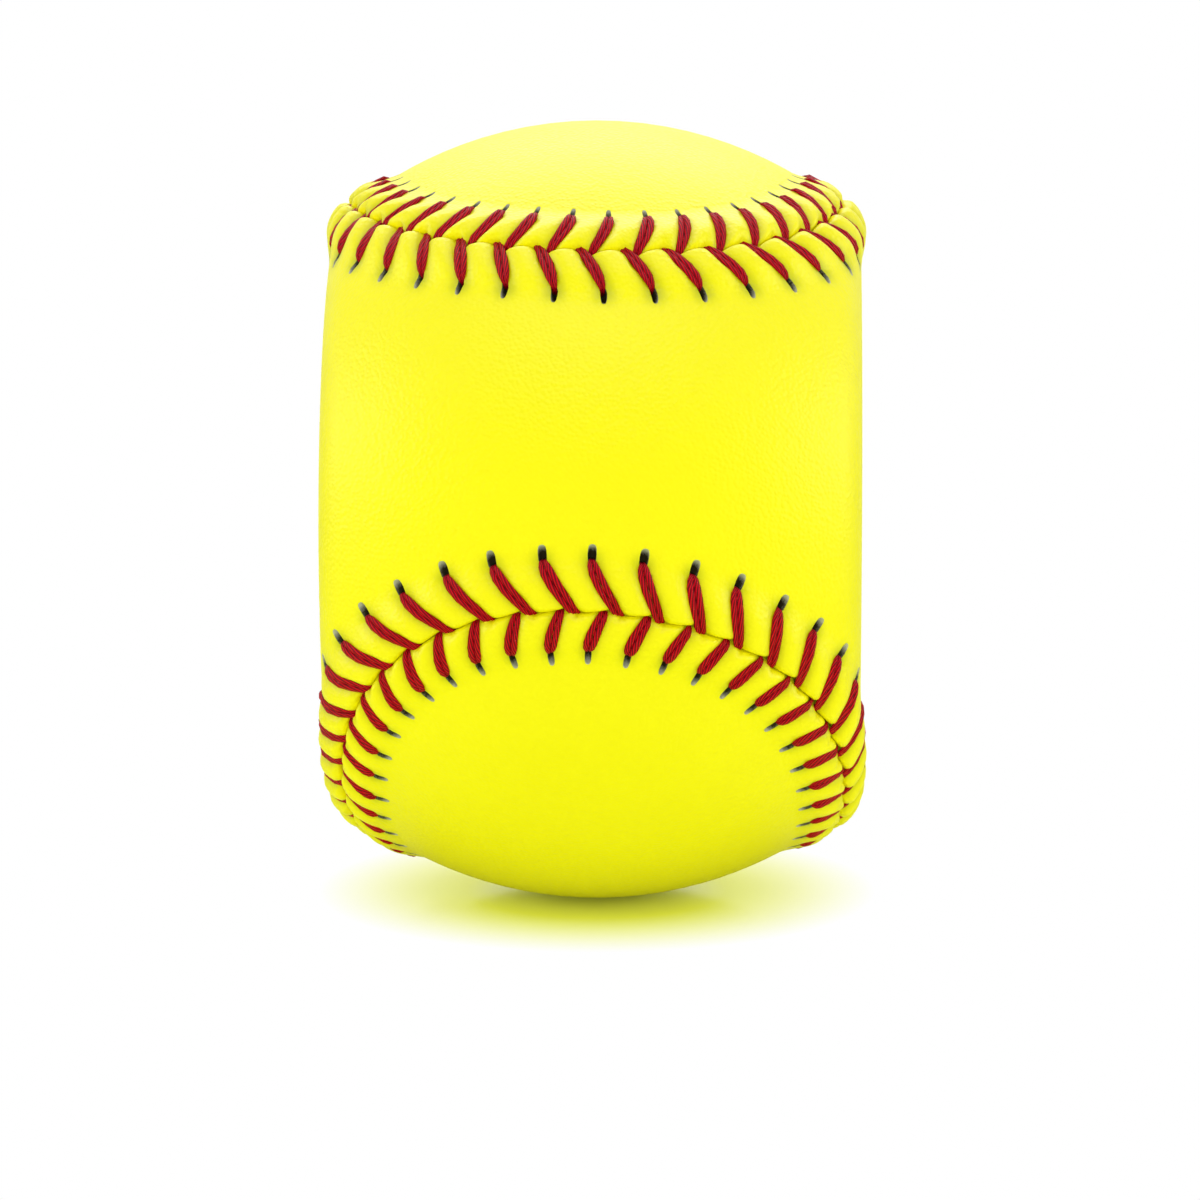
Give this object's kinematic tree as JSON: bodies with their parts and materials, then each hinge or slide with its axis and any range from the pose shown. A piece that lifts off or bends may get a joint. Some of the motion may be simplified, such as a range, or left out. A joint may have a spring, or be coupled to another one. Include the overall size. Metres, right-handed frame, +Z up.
{
  "type": "flat-sided softball",
  "caption": "Softball with flat sides for spin practice: moulded core, sewn leather cover panels, raised herringbone seam in red thread",
  "frame": {"origin": "middle of the ball", "axes": "X runs from flat side to flat side, -Y faces the viewer of the picture, +Z is up as the ball stands on its rim"},
  "size_m": [0.0685, 0.099, 0.097],
  "materials": {
    "core_foam": "dense moulded polyurethane",
    "cement": "dried latex cement",
    "cover_leather": "optic yellow, fine grain, slight sheen",
    "waxed_thread": "red waxed cotton, two strands"
  },
  "bodies": {
    "root": {"core": "core_foam", "cement_coat": "cement", "front_panel": "cover_leather", "rim_panel": "cover_leather", "first_thread": "waxed_thread", "second_thread": "waxed_thread"}
  },
  "joints": []
}
